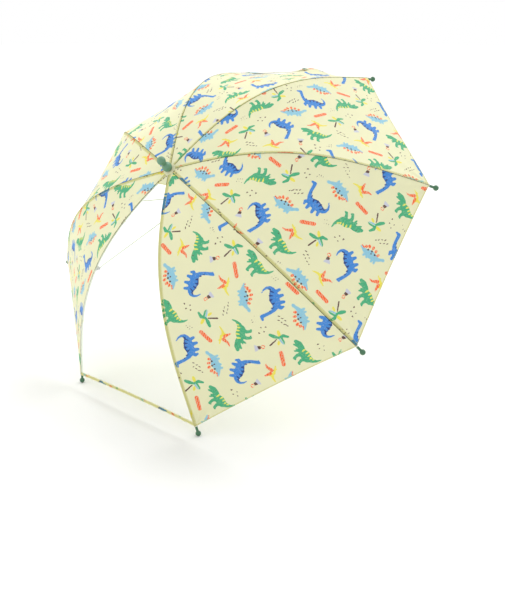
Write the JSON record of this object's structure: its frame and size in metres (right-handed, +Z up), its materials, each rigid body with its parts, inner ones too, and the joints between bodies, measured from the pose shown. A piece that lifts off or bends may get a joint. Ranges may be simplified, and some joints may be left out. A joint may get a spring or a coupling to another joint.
{
  "type": "children's umbrella",
  "caption": "Open stick umbrella for a child, with printed gores and one clear window gore, lying on two rib tips and its hooked handle.",
  "frame": {"origin": "middle of the bounding box's footprint, on the floor that the open umbrella lies on", "axes": "+Z up from the floor, -Y towards the ferrule's side, +X to the right seen from there; the umbrella is alike on both sides of the plane X = 0, apart from its strap"},
  "size_m": [0.828, 0.6528, 0.6119],
  "materials": {
    "printed_cloth": "pale cream-yellow pongee with a coloured print",
    "clear_film": "clear soft plastic film",
    "painted_rod": "pale painted wire rod",
    "tip_plastic": "dark green moulded plastic",
    "green_plastic": "sage green moulded plastic",
    "shaft_tube": "white painted steel tube",
    "white_plastic": "white moulded plastic",
    "steel_wire": "bright steel"
  },
  "bodies": {
    "frame": {"shaft_tube": "shaft_tube", "ferrule": "green_plastic", "top_washer": "printed_cloth", "top_notch": "white_plastic", "notch_wire": "steel_wire", "notch_pin": "steel_wire", "runner_stop_pin": "steel_wire", "handle": "green_plastic", "handle_collar": "green_plastic"},
    "top_spring": {"top_spring": "steel_wire"},
    "bottom_spring": {"bottom_spring": "steel_wire"},
    "runner": {"runner_body": "white_plastic", "runner_wire": "steel_wire"},
    "rib_1": {"rib_1": "painted_rod", "rib_tip_1": "tip_plastic", "rib_clip_1": "steel_wire"},
    "stretcher_1": {"stretcher_1": "painted_rod"},
    "rib_2": {"rib_2": "painted_rod", "rib_tip_2": "tip_plastic", "rib_clip_2": "steel_wire"},
    "stretcher_2": {"stretcher_2": "painted_rod"},
    "rib_3": {"rib_3": "painted_rod", "rib_tip_3": "tip_plastic", "rib_clip_3": "steel_wire"},
    "stretcher_3": {"stretcher_3": "painted_rod"},
    "rib_4": {"rib_4": "painted_rod", "rib_tip_4": "tip_plastic", "rib_clip_4": "steel_wire"},
    "stretcher_4": {"stretcher_4": "painted_rod"},
    "rib_5": {"rib_5": "painted_rod", "rib_tip_5": "tip_plastic", "rib_clip_5": "steel_wire"},
    "stretcher_5": {"stretcher_5": "painted_rod"},
    "rib_6": {"rib_6": "painted_rod", "rib_tip_6": "tip_plastic", "rib_clip_6": "steel_wire"},
    "stretcher_6": {"stretcher_6": "painted_rod"},
    "rib_7": {"rib_7": "painted_rod", "rib_tip_7": "tip_plastic", "rib_clip_7": "steel_wire"},
    "stretcher_7": {"stretcher_7": "painted_rod"},
    "rib_8": {"rib_8": "painted_rod", "rib_tip_8": "tip_plastic", "rib_clip_8": "steel_wire"},
    "stretcher_8": {"stretcher_8": "painted_rod"},
    "window": {"window_gore": "clear_film", "window_binding": "printed_cloth"},
    "gore_1": {"gore_1": "printed_cloth"},
    "gore_2": {"gore_2": "printed_cloth"},
    "gore_3": {"gore_3": "printed_cloth"},
    "gore_4": {"gore_4": "printed_cloth", "tie_strap": "printed_cloth", "strap_snap": "green_plastic"},
    "gore_5": {"gore_5": "printed_cloth"},
    "gore_6": {"gore_6": "printed_cloth"},
    "gore_7": {"gore_7": "printed_cloth"}
  },
  "joints": [
    {"name": "runner_slide", "type": "slide", "parent": "frame", "child": "runner", "axis": [0, 0.7315, -0.6818], "range_m": [0, 0.34236], "deforming": ["gore_1", "gore_2", "gore_3", "gore_4", "gore_5", "gore_6", "gore_7", "window_gore", "window_binding", "tie_strap", "strap_snap", "top_spring", "bottom_spring"]},
    {"name": "top_spring_press", "type": "slide", "parent": "frame", "child": "top_spring", "axis": [0, -0.6818, -0.7315], "range_m": [0, 0.0023], "stiffness_N_per_m": 1500},
    {"name": "bottom_spring_press", "type": "slide", "parent": "frame", "child": "bottom_spring", "axis": [0, -0.6818, -0.7315], "range_m": [0, 0.0023], "stiffness_N_per_m": 1500},
    {"name": "rib_1_fold", "type": "hinge", "parent": "frame", "child": "rib_1", "pos_m": [0.00344, -0.19382, 0.44569], "axis": [0.9239, 0.2609, 0.2799], "range_deg": [0, 62.56]},
    {"name": "stretcher_1_fold", "type": "hinge", "parent": "rib_1", "child": "stretcher_1", "pos_m": [0.08794, -0.3042, 0.26971], "axis": [0.9239, 0.2609, 0.2799], "range_deg": [-122.99, 0]},
    {"name": "rib_2_fold", "type": "hinge", "parent": "frame", "child": "rib_2", "pos_m": [0.00831, -0.1905, 0.44926], "axis": [0.3827, 0.6299, 0.6758], "range_deg": [0, 62.56]},
    {"name": "stretcher_2_fold", "type": "hinge", "parent": "rib_2", "child": "stretcher_2", "pos_m": [0.2123, -0.2194, 0.36069], "axis": [0.3827, 0.6299, 0.6758], "range_deg": [-122.99, 0]},
    {"name": "rib_3_fold", "type": "hinge", "parent": "frame", "child": "rib_3", "pos_m": [0.00831, -0.18581, 0.4543], "axis": [-0.3827, 0.6299, 0.6758], "range_deg": [0, 62.56]},
    {"name": "stretcher_3_fold", "type": "hinge", "parent": "rib_3", "child": "stretcher_3", "pos_m": [0.2123, -0.09948, 0.48934], "axis": [-0.3827, 0.6299, 0.6758], "range_deg": [-122.99, 0]},
    {"name": "rib_4_fold", "type": "hinge", "parent": "frame", "child": "rib_4", "pos_m": [0.00344, -0.18249, 0.45786], "axis": [-0.9239, 0.2609, 0.2799], "range_deg": [0, 62.56]},
    {"name": "stretcher_4_fold", "type": "hinge", "parent": "rib_4", "child": "stretcher_4", "pos_m": [0.08794, -0.01469, 0.58031], "axis": [-0.9239, 0.2609, 0.2799], "range_deg": [-122.99, 0]},
    {"name": "rib_5_fold", "type": "hinge", "parent": "frame", "child": "rib_5", "pos_m": [-0.00344, -0.18249, 0.45786], "axis": [-0.9239, -0.2609, -0.2799], "range_deg": [0, 62.56]},
    {"name": "stretcher_5_fold", "type": "hinge", "parent": "rib_5", "child": "stretcher_5", "pos_m": [-0.08794, -0.01469, 0.58031], "axis": [-0.9239, -0.2609, -0.2799], "range_deg": [-122.99, 0]},
    {"name": "rib_6_fold", "type": "hinge", "parent": "frame", "child": "rib_6", "pos_m": [-0.00831, -0.18581, 0.4543], "axis": [-0.3827, -0.6299, -0.6758], "range_deg": [0, 62.56]},
    {"name": "stretcher_6_fold", "type": "hinge", "parent": "rib_6", "child": "stretcher_6", "pos_m": [-0.2123, -0.09948, 0.48934], "axis": [-0.3827, -0.6299, -0.6758], "range_deg": [-122.99, 0]},
    {"name": "rib_7_fold", "type": "hinge", "parent": "frame", "child": "rib_7", "pos_m": [-0.00831, -0.1905, 0.44926], "axis": [0.3827, -0.6299, -0.6758], "range_deg": [0, 62.56]},
    {"name": "stretcher_7_fold", "type": "hinge", "parent": "rib_7", "child": "stretcher_7", "pos_m": [-0.2123, -0.2194, 0.36069], "axis": [0.3827, -0.6299, -0.6758], "range_deg": [-122.99, 0]},
    {"name": "rib_8_fold", "type": "hinge", "parent": "frame", "child": "rib_8", "pos_m": [-0.00344, -0.19382, 0.44569], "axis": [0.9239, -0.2609, -0.2799], "range_deg": [0, 62.56]},
    {"name": "stretcher_8_fold", "type": "hinge", "parent": "rib_8", "child": "stretcher_8", "pos_m": [-0.08794, -0.3042, 0.26971], "axis": [0.9239, -0.2609, -0.2799], "range_deg": [-122.99, 0]},
    {"name": "window_fold", "type": "hinge", "parent": "frame", "child": "window", "pos_m": [0, -0.19429, 0.44519], "axis": [1, 0, 0], "range_deg": [0, 61.16]},
    {"name": "gore_1_fold", "type": "hinge", "parent": "frame", "child": "gore_1", "pos_m": [0.00636, -0.19249, 0.44712], "axis": [0.7071, 0.4821, 0.5173], "range_deg": [0, 61.16]},
    {"name": "gore_2_fold", "type": "hinge", "parent": "frame", "child": "gore_2", "pos_m": [0.009, -0.18815, 0.45178], "axis": [0, 0.6818, 0.7315], "range_deg": [0, 61.16]},
    {"name": "gore_3_fold", "type": "hinge", "parent": "frame", "child": "gore_3", "pos_m": [0.00636, -0.18382, 0.45643], "axis": [-0.7071, 0.4821, 0.5173], "range_deg": [0, 61.16]},
    {"name": "gore_4_fold", "type": "hinge", "parent": "frame", "child": "gore_4", "pos_m": [0, -0.18202, 0.45836], "axis": [-1, 0, 0], "range_deg": [0, 61.16]},
    {"name": "gore_5_fold", "type": "hinge", "parent": "frame", "child": "gore_5", "pos_m": [-0.00636, -0.18382, 0.45643], "axis": [-0.7071, -0.4821, -0.5173], "range_deg": [0, 61.16]},
    {"name": "gore_6_fold", "type": "hinge", "parent": "frame", "child": "gore_6", "pos_m": [-0.009, -0.18815, 0.45178], "axis": [0, -0.6818, -0.7315], "range_deg": [0, 61.16]},
    {"name": "gore_7_fold", "type": "hinge", "parent": "frame", "child": "gore_7", "pos_m": [-0.00636, -0.19249, 0.44712], "axis": [0.7071, -0.4821, -0.5173], "range_deg": [0, 61.16]}
  ],
  "couplings": [
    {"joint": "rib_1_fold", "follows": "runner_slide", "rad_per_m": 3.1882},
    {"joint": "stretcher_1_fold", "follows": "runner_slide", "rad_per_m": -6.269},
    {"joint": "rib_2_fold", "follows": "runner_slide", "rad_per_m": 3.1882},
    {"joint": "stretcher_2_fold", "follows": "runner_slide", "rad_per_m": -6.269},
    {"joint": "rib_3_fold", "follows": "runner_slide", "rad_per_m": 3.1882},
    {"joint": "stretcher_3_fold", "follows": "runner_slide", "rad_per_m": -6.269},
    {"joint": "rib_4_fold", "follows": "runner_slide", "rad_per_m": 3.1882},
    {"joint": "stretcher_4_fold", "follows": "runner_slide", "rad_per_m": -6.269},
    {"joint": "rib_5_fold", "follows": "runner_slide", "rad_per_m": 3.1882},
    {"joint": "stretcher_5_fold", "follows": "runner_slide", "rad_per_m": -6.269},
    {"joint": "rib_6_fold", "follows": "runner_slide", "rad_per_m": 3.1882},
    {"joint": "stretcher_6_fold", "follows": "runner_slide", "rad_per_m": -6.269},
    {"joint": "rib_7_fold", "follows": "runner_slide", "rad_per_m": 3.1882},
    {"joint": "stretcher_7_fold", "follows": "runner_slide", "rad_per_m": -6.269},
    {"joint": "rib_8_fold", "follows": "runner_slide", "rad_per_m": 3.1882},
    {"joint": "stretcher_8_fold", "follows": "runner_slide", "rad_per_m": -6.269},
    {"joint": "window_fold", "follows": "runner_slide", "rad_per_m": 3.1171},
    {"joint": "gore_1_fold", "follows": "runner_slide", "rad_per_m": 3.1171},
    {"joint": "gore_2_fold", "follows": "runner_slide", "rad_per_m": 3.1171},
    {"joint": "gore_3_fold", "follows": "runner_slide", "rad_per_m": 3.1171},
    {"joint": "gore_4_fold", "follows": "runner_slide", "rad_per_m": 3.1171},
    {"joint": "gore_5_fold", "follows": "runner_slide", "rad_per_m": 3.1171},
    {"joint": "gore_6_fold", "follows": "runner_slide", "rad_per_m": 3.1171},
    {"joint": "gore_7_fold", "follows": "runner_slide", "rad_per_m": 3.1171}
  ]
}
